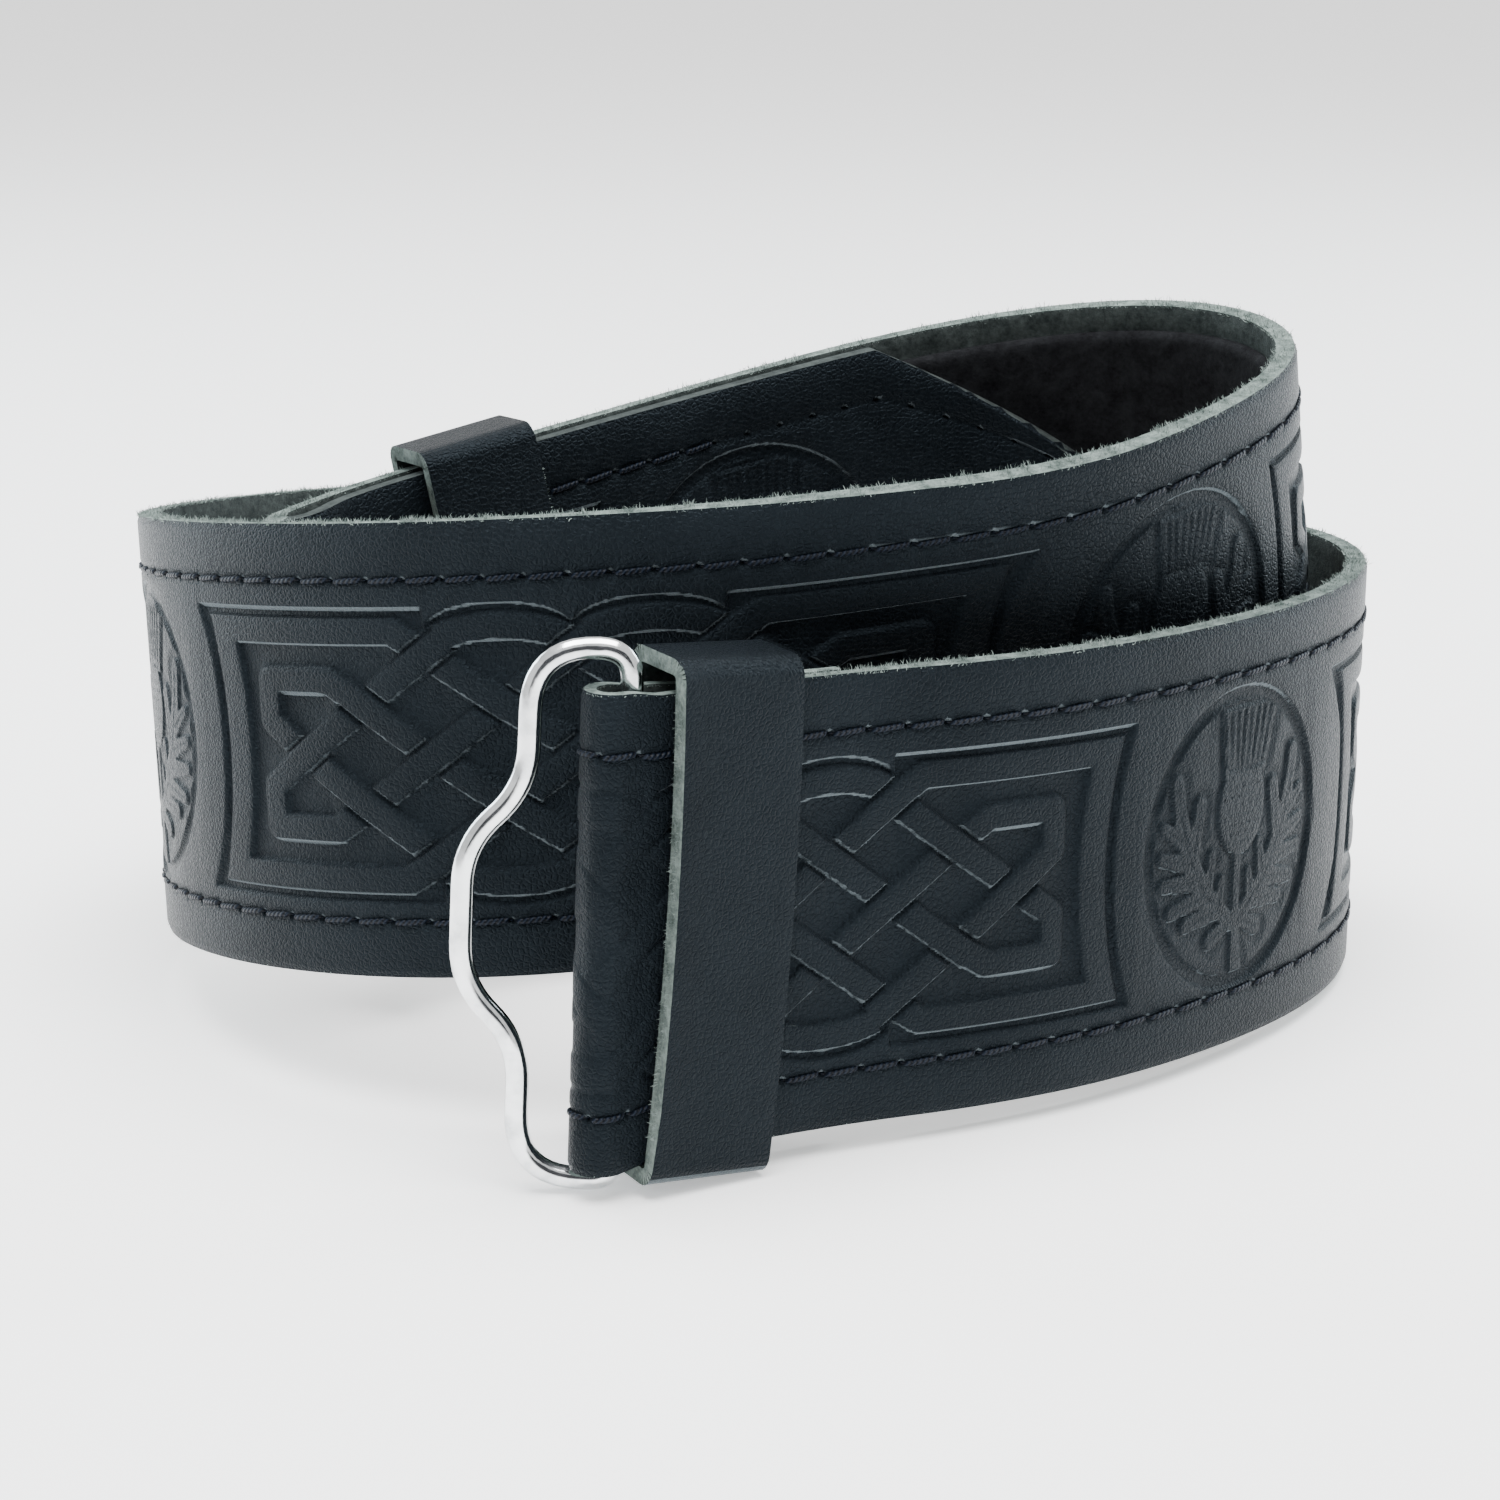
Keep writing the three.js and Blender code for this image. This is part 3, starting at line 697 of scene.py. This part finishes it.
def buildFibres(name, low):
    # short hairs of leather that stand up along a cut edge, most of them at its flesh side
    size = fibres
    random = np.random.default_rng(size["seed"] + low)
    count = size["lowCount"] if low else size["count"]
    tuft = random.integers(0, size["tufts"], count)
    first, last = fineRun[5][0] + 1, coilPath["coilLength"] + 5
    along = random.uniform(first, last, size["tufts"])[tuft]
    along = along + random.normal(0, size["spread"], count)
    height = random.uniform(0.35, 1.3, size["tufts"])[tuft]
    middle, outward, across, thickness, width = runAt(along)
    side = -1 if low else 1
    share = 0.95 - 1.9 * random.random(count) ** 0.75
    root = middle + outward * (thickness * share / 2)[:, None]
    root = root + across * (side * (width / 2 - 0.25))[:, None]
    lean = share * 0.5 - 0.2 * random.random(count)
    way = across * side + outward * lean[:, None]
    way = way + random.normal(0, size["lean"] * 0.45, (count, 3))
    long = random.uniform(*size["length"], count) * height * (0.55 if low else 1)
    long = np.where(along < size["wornLength"], long * size["wornShare"], long)
    return hairMesh(name, root, way, long, random)


def buildRimFibres(name, window, place, end, bowed):
    # the same hairs round one rim of a keeper: end is -1 or 1 along the strap
    size = fibres
    random = np.random.default_rng(size["seed"] + 5 + end)
    count = size["rimCount"]
    wall = keeperSizes["thickness"]
    wide = window["right"] - window["left"] + wall
    high = window["top"] - window["bottom"] + wall
    around = random.uniform(0, 2 * (wide + high), count)
    depth = random.uniform(-0.45, 0.45, count) * wall
    # the two tall walls first, then the two short ones
    rest = around - 2 * high
    x = np.where(rest < 0, np.where(around < high, -wide / 2, wide / 2) + depth,
                 rest % wide - wide / 2)
    y = np.where(rest < 0, around % high - high / 2,
                 np.where(rest < wide, -high / 2, high / 2) + depth)
    middleX = (window["left"] + window["right"]) / 2
    middleY = (window["bottom"] + window["top"]) / 2
    inset = (keeperSizes["length"] / 2 - 0.15) * end
    z = np.full(count, inset) + (keeperBow(y + middleY, window) if bowed else 0)
    local = np.stack([x + middleX, y + middleY, z, np.ones(count)], axis=1)
    root = (local @ np.array(place).T)[:, :3]
    ahead = np.array(place)[:3, 2] * end
    way = ahead + random.normal(0, size["lean"] * 0.5, (count, 3))
    long = random.uniform(*size["length"], count) * 0.75
    # worn short next to the wire
    long = np.where(np.abs(y) > high / 2 - 5, long * size["wornShare"], long)
    return hairMesh(name, root, way, long, random)


topFibres = buildFibres("topFibres", False)
lowFibres = buildFibres("lowFibres", True)
frontRimFibres = buildRimFibres("frontRimFibres", frontWindow, frontKeeperPlace, -1, True)
rearRimFibres = buildRimFibres("rearRimFibres", rearWindow, rearKeeperPlace, -1, False)
print("fibres raised")


# keepers

def buildKeeper(name, window, place, bowed):
    size = keeperSizes
    wall = size["thickness"]
    left, right = window["left"] - wall, window["right"] + wall
    bottom, top = window["bottom"] - wall, window["top"] + wall
    bpy.ops.object.select_all(action="DESELECT")
    bpy.ops.mesh.primitive_cube_add(size=1, location=((left + right) / 2, (bottom + top) / 2, 0))
    keeper = bpy.context.object
    keeper.name = keeper.data.name = name
    keeper.scale = (right - left, top - bottom, size["length"])
    bpy.ops.object.transform_apply(location=True, rotation=False, scale=True)
    mesh = keeper.data
    pickEdges(mesh, 2)
    bpy.ops.mesh.bevel(offset=size["cornerRadius"] + wall, segments=6, affect="EDGES")
    bpy.ops.mesh.select_mode(type="FACE")
    bpy.ops.mesh.select_all(action="DESELECT")
    bpy.ops.object.mode_set(mode="OBJECT")
    for face in mesh.polygons:
        face.select = abs(face.normal.z) > 0.9
    bpy.ops.object.mode_set(mode="EDIT")
    bpy.ops.mesh.delete(type="ONLY_FACE")
    bpy.ops.mesh.select_all(action="SELECT")
    bpy.ops.mesh.subdivide(number_cuts=7)
    bpy.ops.object.mode_set(mode="OBJECT")
    applyModifier(keeper, "SOLIDIFY", thickness=wall, offset=-1, use_even_offset=True)
    if bowed:
        for corner in keeper.data.vertices:
            x, y, z = corner.co
            if x < window["left"] - wall / 2:
                rim = 1 - float(smooth((z + size["length"] / 2) / size["rimWidth"]))
                corner.co.x -= size["rimSwell"] * rim * float(smooth((y - bottom) / 9))
            corner.co.z += float(keeperBow(y, window))
    applyModifier(keeper, "BEVEL", width=0.3, segments=2, limit_method="ANGLE",
                  angle_limit=math.radians(50))
    keeper.data.transform(coilMatrix @ place)
    keeper.data.transform(Matrix.Scale(mm, 4))
    smoothShade(keeper, 50)
    return keeper


frontKeeper = buildKeeper("frontKeeperBand", frontWindow, frontKeeperPlace, True)
rearKeeper = buildKeeper("rearKeeperBand", rearWindow, rearKeeperPlace, False)
print("keepers folded")


# wire loop

wireLoop = {
    "diameter": 2.8, "reach": 18.8, "shoulderReach": 11.6, "raisedHeight": 17, "shoulderGap": 31,
    "cornerRadius": 5.5, "crownRadius": 8, "barCornerRadius": 4,
    "lowCornerRadius": 2.5, "edgeGap": 2.4, "raise": 1.2, "swing": 31,
    "bendSteps": 10, "sides": 20,
}


def wireLine():
    size = wireLoop
    half = (coilPath["strapWidth"] + size["diameter"]) / 2 + size["edgeGap"]
    upper = [(0, half, size["barCornerRadius"]), (size["shoulderReach"], half, size["crownRadius"]),
             (size["shoulderReach"], size["shoulderGap"] / 2, size["cornerRadius"]),
             (size["reach"], size["raisedHeight"] / 2, size["cornerRadius"])]
    corners = upper + [(out, -high, radius) for out, high, radius in reversed(upper)]
    corners[-1] = (0, -half, size["lowCornerRadius"])  # tighter, close under the fold
    line = []
    for i, (out, high, radius) in enumerate(corners):
        corner = Vector((-out, 0, high))
        before, after = corners[i - 1], corners[(i + 1) % len(corners)]
        # two neighbouring bends share the straight between them
        reach = radius
        for other in (before, after):
            straight = math.hypot(other[0] - out, other[1] - high)
            reach = min(reach, straight * radius / (radius + other[2]))
        before, after = [Vector((-other[0], 0, other[1])) for other in (before, after)]
        start = corner + (before - corner).normalized() * reach
        end = corner + (after - corner).normalized() * reach
        for k in range(size["bendSteps"] + 1):
            t = k / size["bendSteps"]
            line.append(start * (1 - t) ** 2 + corner * (2 * t * (1 - t)) + end * t * t)
    return line


def buildWire():
    size = wireLoop
    curve = bpy.data.curves.new("wireLoopBent", "CURVE")
    curve.dimensions = "3D"
    curve.bevel_depth = size["diameter"] / 2
    curve.bevel_resolution = size["sides"] // 4 - 1
    spline = curve.splines.new("POLY")
    line = wireLine()
    spline.points.add(len(line) - 1)
    for point, place in zip(spline.points, line):
        point.co = (*place, 1)
    spline.use_cyclic_u = True
    wire = bpy.data.objects.new("wireLoopBent", curve)
    bpy.context.scene.collection.objects.link(wire)
    selectOnly(wire)
    bpy.ops.object.convert(target="MESH")
    wire = bpy.context.object
    middle, ahead, inward, across = [Vector(part[0]) for part in coilFrames(coilPath["barSetback"])]
    turned = Matrix((ahead, inward, across)).transposed().to_4x4()
    turned = turned @ Matrix.Rotation(math.radians(coilPath["wireTilt"]), 4, "Y")
    turned = turned @ Matrix.Rotation(math.radians(-size["swing"]), 4, "Z")
    middle = middle + inward * coilPath["frontFoldSpan"] / 2 + across * size["raise"]
    wire.data.transform(coilMatrix @ Matrix.Translation(middle) @ turned)
    wire.data.transform(Matrix.Scale(mm, 4))
    smoothShade(wire, 60)
    return wire


wireBent = buildWire()
print("wire bent")


# hook-and-loop strip

tapeSizes = {"width": 50, "thickness": 1.4, "length": 162, "setback": 44, "gap": 0.3, "step": 0.9,
             "nap": 0.22, "seed": 4}


def buildTape():
    size = tapeSizes
    start = coilPath["coilLength"] - size["setback"] - size["length"]
    along = np.arange(start, start + size["length"] + size["step"] / 2, size["step"])
    middle, ahead, inward, across = coilFrames(along)
    rows = np.linspace(-size["width"] / 2, size["width"] / 2, int(size["width"] / size["step"]))
    near = coilPath["strapThickness"] / 2 + size["gap"]
    noise = np.random.default_rng(size["seed"]).random((len(along), len(rows)))
    edge = np.minimum(rows + size["width"] / 2, size["width"] / 2 - rows)
    high = size["thickness"] - size["nap"] * noise - 0.5 * (1 - smooth(edge / 1.0))[None, :]
    base = middle[:, None] + across[:, None] * rows[None, :, None]
    front = base + inward[:, None] * (near + high)[..., None]
    backRows = np.array([size["width"] / 2, 0, -size["width"] / 2])
    back = middle[:, None] + across[:, None] * backRows[None, :, None] + inward[:, None] * near
    points = np.concatenate([front, back], axis=1)
    ring = points.shape[1]
    frontPick = np.linspace(0, len(rows) - 1, len(backRows)).round().astype(int)
    quads = closedGrid(len(along), ring, frontPick)[:, ::-1]
    flat = np.zeros((len(along), ring, 2))
    flat[..., 0] = along[:, None]
    flat[..., 1] = np.concatenate([rows, backRows])[None, :]
    tape = meshFromArrays("loopTapeNap", toFrame(points.reshape(-1, 3)), quads, flat.reshape(-1, 2))
    smoothShade(tape, 80)
    return tape


loopTape = buildTape()
print("hook-and-loop strip laid")


# materials

def addNode(tree, kind, **values):
    node = tree.nodes.new(kind)
    for name, value in values.items():
        if name in node.inputs:
            node.inputs[name].default_value = value
        else:
            setattr(node, name, value)
    return node


def setSockets(node, values):
    for name, value in values.items():
        node.inputs[name].default_value = value


def joinNodes(tree, *joins):
    # each join is a node and its output, then the next node and its input
    for source, output, target, socket in joins:
        tree.links.new(source.outputs[output], target.inputs[socket])


def newMaterial(name):
    material = bpy.data.materials.new(name)
    material.use_nodes = True
    tree = material.node_tree
    tree.nodes.clear()
    output = tree.nodes.new("ShaderNodeOutputMaterial")
    shader = tree.nodes.new("ShaderNodeBsdfPrincipled")
    tree.links.new(shader.outputs["BSDF"], output.inputs["Surface"])
    return material, tree, shader


def colourRamp(tree, *stops):
    ramp = tree.nodes.new("ShaderNodeValToRGB")
    while len(ramp.color_ramp.elements) < len(stops):
        ramp.color_ramp.elements.new(0.5)
    for element, (place, colour) in zip(ramp.color_ramp.elements, stops):
        element.position = place
        element.color = (*colour, 1)
    return ramp


def newGroup(name):
    group = bpy.data.node_groups.new(name, "ShaderNodeTree")
    for socket, way in (("Scale", "INPUT"), ("Height", "OUTPUT"), ("Mottle", "OUTPUT")):
        group.interface.new_socket(socket, in_out=way, socket_type="NodeSocketFloat")
    ends = ("NodeGroupInput", "NodeGroupOutput", "ShaderNodeTexCoord")
    return group, *(group.nodes.new(kind) for kind in ends)


def grainGroup():
    # fine leather grain: creased cells with small pores, in object space
    group, source, result, place = newGroup("leatherGrain")
    cells = addNode(group, "ShaderNodeTexVoronoi", feature="DISTANCE_TO_EDGE")
    fine = addNode(group, "ShaderNodeTexNoise", Detail=5.0, Roughness=0.62)
    broad = addNode(group, "ShaderNodeTexNoise", Scale=55.0, Detail=4.0, Roughness=0.55)
    double = addNode(group, "ShaderNodeMath", operation="MULTIPLY")
    edge = addNode(group, "ShaderNodeMapRange")
    mix = addNode(group, "ShaderNodeMath", operation="MULTIPLY_ADD")
    setSockets(double, {1: 2.3})
    setSockets(edge, {"From Max": 0.22})
    setSockets(mix, {1: 0.55})
    for node in (cells, fine, broad):
        joinNodes(group, (place, "Object", node, "Vector"))
    joinNodes(group, (source, "Scale", cells, "Scale"), (source, "Scale", double, 0),
              (double, 0, fine, "Scale"), (cells, "Distance", edge, "Value"), (edge, 0, mix, 0),
              (fine, "Fac", mix, 2), (mix, 0, result, "Height"), (broad, "Fac", result, "Mottle"))
    return group


def napGroup():
    # short fibres of napped or cut leather, in object space
    group, source, result, place = newGroup("fibreNap")
    noise = addNode(group, "ShaderNodeTexNoise", Detail=6.0, Roughness=0.75)
    broad = addNode(group, "ShaderNodeTexNoise", Scale=420.0, Detail=3.0, Roughness=0.6)
    mix = addNode(group, "ShaderNodeMath", operation="MULTIPLY_ADD")
    half = addNode(group, "ShaderNodeMath", operation="MULTIPLY")
    setSockets(mix, {1: 0.5})
    setSockets(half, {1: 0.5})
    for node in (noise, broad):
        joinNodes(group, (place, "Object", node, "Vector"))
    joinNodes(group, (source, "Scale", noise, "Scale"), (broad, "Fac", half, 0),
              (noise, "Fac", mix, 0), (half, 0, mix, 2), (noise, "Fac", result, "Height"),
              (mix, 0, result, "Mottle"))
    return group


leatherGrain = grainGroup()
fibreNap = napGroup()


def leatherMaterial(name, dark, light, paintedGlint, roughness):
    material, tree, shader = newMaterial(name)
    grain = addNode(tree, "ShaderNodeGroup", node_tree=leatherGrain)
    ramp = colourRamp(tree, (0.3, dark), (0.75, light))
    rough = addNode(tree, "ShaderNodeMapRange")
    bump = addNode(tree, "ShaderNodeBump", Strength=0.85, Distance=0.00018)
    setSockets(grain, {"Scale": 1500})
    setSockets(rough, {"From Min": 0.4, "From Max": 1.2, "To Min": roughness + 0.12,
                       "To Max": roughness - 0.06})
    setSockets(shader, {"Specular IOR Level": 0.1, "Specular Tint": (0.62, 0.84, 1.0, 1)})
    joinNodes(tree, (grain, "Mottle", ramp, "Fac"), (grain, "Height", rough, "Value"),
              (rough, 0, shader, "Roughness"), (grain, "Height", bump, "Height"),
              (bump, "Normal", shader, "Normal"))
    # painted highlight: the pressed bands' downward-facing lower walls get a lighter base colour,
    # standing in for glints of light reflected from below
    place = addNode(tree, "ShaderNodeTexCoord")
    split = addNode(tree, "ShaderNodeSeparateXYZ")
    wall = addNode(tree, "ShaderNodeMapRange", interpolation_type="SMOOTHSTEP")
    blend = addNode(tree, "ShaderNodeMix", data_type="RGBA")
    setSockets(wall, {"From Min": -0.4, "From Max": -0.7})
    setSockets(blend, {"B": (*paintedGlint, 1)})
    joinNodes(tree, (place, "Normal", split, "Vector"), (split, "Z", wall, "Value"),
              (wall, "Result", blend, "Factor"), (ramp, "Color", blend, "A"),
              (blend, "Result", shader, "Base Color"))
    return material


def fibreMaterial(name, dark, light, scale, depth):
    # a napped or cut leather face: short fibres without gloss
    material, tree, shader = newMaterial(name)
    nap = addNode(tree, "ShaderNodeGroup", node_tree=fibreNap)
    ramp = colourRamp(tree, (0.36, dark), (0.64, light))
    bump = addNode(tree, "ShaderNodeBump", Strength=0.9, Distance=depth)
    setSockets(nap, {"Scale": scale})
    setSockets(shader, {"Roughness": 0.95, "Specular IOR Level": 0.12})
    joinNodes(tree, (nap, "Mottle", ramp, "Fac"), (ramp, "Color", shader, "Base Color"),
              (nap, "Height", bump, "Height"), (bump, "Normal", shader, "Normal"))
    return material


# the third colour is the painted highlight on the bands' lower walls
grainLeather = leatherMaterial("grainLeather", (0.0028, 0.0038, 0.0050),
                               (0.0062, 0.0083, 0.0105), (0.1, 0.12, 0.13), 0.32)
cutEdge = fibreMaterial("cutEdge", (0.04, 0.055, 0.05), (0.22, 0.27, 0.25), 1900, 0.0004)
looseFibre = fibreMaterial("looseFibre", (0.09, 0.12, 0.11), (0.34, 0.4, 0.375), 1900, 0.0002)
fleshSide = fibreMaterial("fleshSide", (0.012, 0.016, 0.016), (0.05, 0.06, 0.058), 1300, 0.0003)
tapeNap = fibreMaterial("tapeNap", (0.002, 0.002, 0.003), (0.014, 0.015, 0.017), 1700, 0.0004)


def threadMaterial():
    material, tree, shader = newMaterial("waxedThread")
    place = addNode(tree, "ShaderNodeUVMap")
    turn = addNode(tree, "ShaderNodeMapping")
    wave = addNode(tree, "ShaderNodeTexWave", Scale=560.0, Distortion=0.6)
    ramp = colourRamp(tree, (0.1, (0.001, 0.0018, 0.004)), (0.9, (0.007, 0.011, 0.019)))
    bump = addNode(tree, "ShaderNodeBump", Strength=0.7, Distance=0.0002)
    setSockets(turn, {"Rotation": (0, 0, math.radians(38))})
    setSockets(shader, {"Roughness": 0.4, "Specular IOR Level": 0.12})
    joinNodes(tree, (place, "UV", turn, "Vector"), (turn, "Vector", wave, "Vector"),
              (wave, "Fac", ramp, "Fac"), (ramp, "Color", shader, "Base Color"),
              (wave, "Fac", bump, "Height"), (bump, "Normal", shader, "Normal"))
    return material


def chromeMaterial():
    material, tree, shader = newMaterial("polishedWire")
    place = addNode(tree, "ShaderNodeTexCoord")
    noise = addNode(tree, "ShaderNodeTexNoise", Scale=260.0, Detail=4.0, Roughness=0.6)
    ramp = colourRamp(tree, (0.35, (0.55, 0.57, 0.58)), (0.6, (0.85, 0.87, 0.88)))
    rough = addNode(tree, "ShaderNodeMapRange")
    setSockets(rough, {"To Min": 0.05, "To Max": 0.2})
    setSockets(shader, {"Metallic": 1})
    joinNodes(tree, (place, "Object", noise, "Vector"), (noise, "Fac", ramp, "Fac"),
              (ramp, "Color", shader, "Base Color"), (noise, "Fac", rough, "Value"),
              (rough, 0, shader, "Roughness"))
    return material


def giveMaterials(piece, *materials):
    while len(piece.data.materials):
        piece.data.materials.pop()
    for material in materials:
        piece.data.materials.append(material)


def keeperParts(keeper, window, place):
    # leather outside, flesh inside and cut edges at the two rims
    back = (coilMatrix @ place).inverted()
    turn = back.to_3x3()
    for face in keeper.data.polygons:
        centre = back @ (face.center / mm)
        normal = turn @ face.normal
        within = window["left"] - 0.3 < centre.x < window["right"] + 0.3
        within = within and window["bottom"] - 0.3 < centre.y < window["top"] + 0.3
        face.material_index = 1 if abs(normal.z) > 0.6 else 2 if within else 0


smoothShade(strapLeather, strapLook["creaseAngle"])
giveMaterials(strapLeather, grainLeather, cutEdge, fleshSide)
strapParts(strapLeather)
for keeper, window, place in ((frontKeeper, frontWindow, frontKeeperPlace),
                              (rearKeeper, rearWindow, rearKeeperPlace)):
    giveMaterials(keeper, grainLeather, cutEdge, fleshSide)
    keeperParts(keeper, window, place)
thread = threadMaterial()
giveMaterials(topStitches, thread)
giveMaterials(bottomStitches, thread)
giveMaterials(wireBent, chromeMaterial())
for hairs in (topFibres, lowFibres, frontRimFibres, rearRimFibres):
    giveMaterials(hairs, looseFibre)
giveMaterials(loopTape, tapeNap)
for row in (topStitches, bottomStitches):
    smoothShade(row, 80)
print("materials given")


# bodies

for piece, body, node, slot in (
    (strapLeather, "belt", "strap", "strap_leather"),
    (topStitches, "belt", None, "strap_leather"),
    (bottomStitches, "belt", None, "strap_leather"),
    (topFibres, "belt", None, "strap_leather"),
    (lowFibres, "belt", None, "strap_leather"),
    (frontRimFibres, "belt", None, "keeper_leather"),
    (rearRimFibres, "belt", None, "keeper_leather"),
    (frontKeeper, "belt", "front_keeper", "keeper_leather"),
    (rearKeeper, "belt", "rear_keeper", "keeper_leather"),
    (loopTape, "belt", "loop_tape", "tape"),
    (wireBent, "loop", "wire_loop", "wire"),
):
    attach(piece, body)
    if node:
        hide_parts(node)


# floor and light

studio = {"floor": (0.96, 0.96, 0.96), "glow": 0.5, "sky": 1.1, "key": 26, "rim": 6,
          "coolLight": (0.8, 0.93, 1.0), "cardSize": (1.3, 0.55), "cardPlace": (0, -0.8, 0.34)}


def addStudio():
    bpy.ops.object.select_all(action="DESELECT")
    bpy.ops.mesh.primitive_plane_add(size=8, location=(0, 0, 0))
    floor = bpy.context.object
    floor.name = "studioFloor"
    material, tree, shader = newMaterial("paleFloor")
    setSockets(shader, {"Base Color": (*studio["floor"], 1), "Roughness": 0.8,
                        "Emission Color": (1, 1, 1, 1), "Emission Strength": studio["glow"]})
    giveMaterials(floor, material)
    # a dark card behind the camera, for the wire's dark streaks
    bpy.ops.object.select_all(action="DESELECT")
    bpy.ops.mesh.primitive_plane_add(size=1, location=studio["cardPlace"],
                                     rotation=(math.radians(90), 0, 0))
    card = bpy.context.object
    card.name = "darkCard"
    card.scale = (*studio["cardSize"], 1)
    bpy.ops.object.transform_apply(location=True, rotation=True, scale=True)
    card.visible_camera = False
    material, tree, shader = newMaterial("darkPaper")
    setSockets(shader, {"Base Color": (0.015, 0.015, 0.017, 1), "Roughness": 1})
    giveMaterials(card, material)
    world = bpy.data.worlds.new("studioWorld")
    world.use_nodes = True
    setSockets(world.node_tree.nodes["Background"], {"Color": (1, 1, 1, 1),
                                                     "Strength": studio["sky"]})
    bpy.context.scene.world = world
    for place, turn, size, power, colour in (
        ((0, -0.1, 0.9), (0, 0, 0), 0.8, studio["key"], (1, 1, 1)),
        ((-0.75, 0.45, 0.3), (-68, 0, 59), 0.5, studio["rim"], studio["coolLight"]),
        ((0.75, 0.45, 0.3), (-68, 0, -59), 0.5, studio["rim"], studio["coolLight"]),
    ):
        bpy.ops.object.light_add(type="AREA", location=place,
                                 rotation=[math.radians(a) for a in turn])
        light = bpy.context.object
        light.data.size = size
        light.data.energy = power
        light.data.color = colour
        light.visible_camera = False


addStudio()
print("studio set")
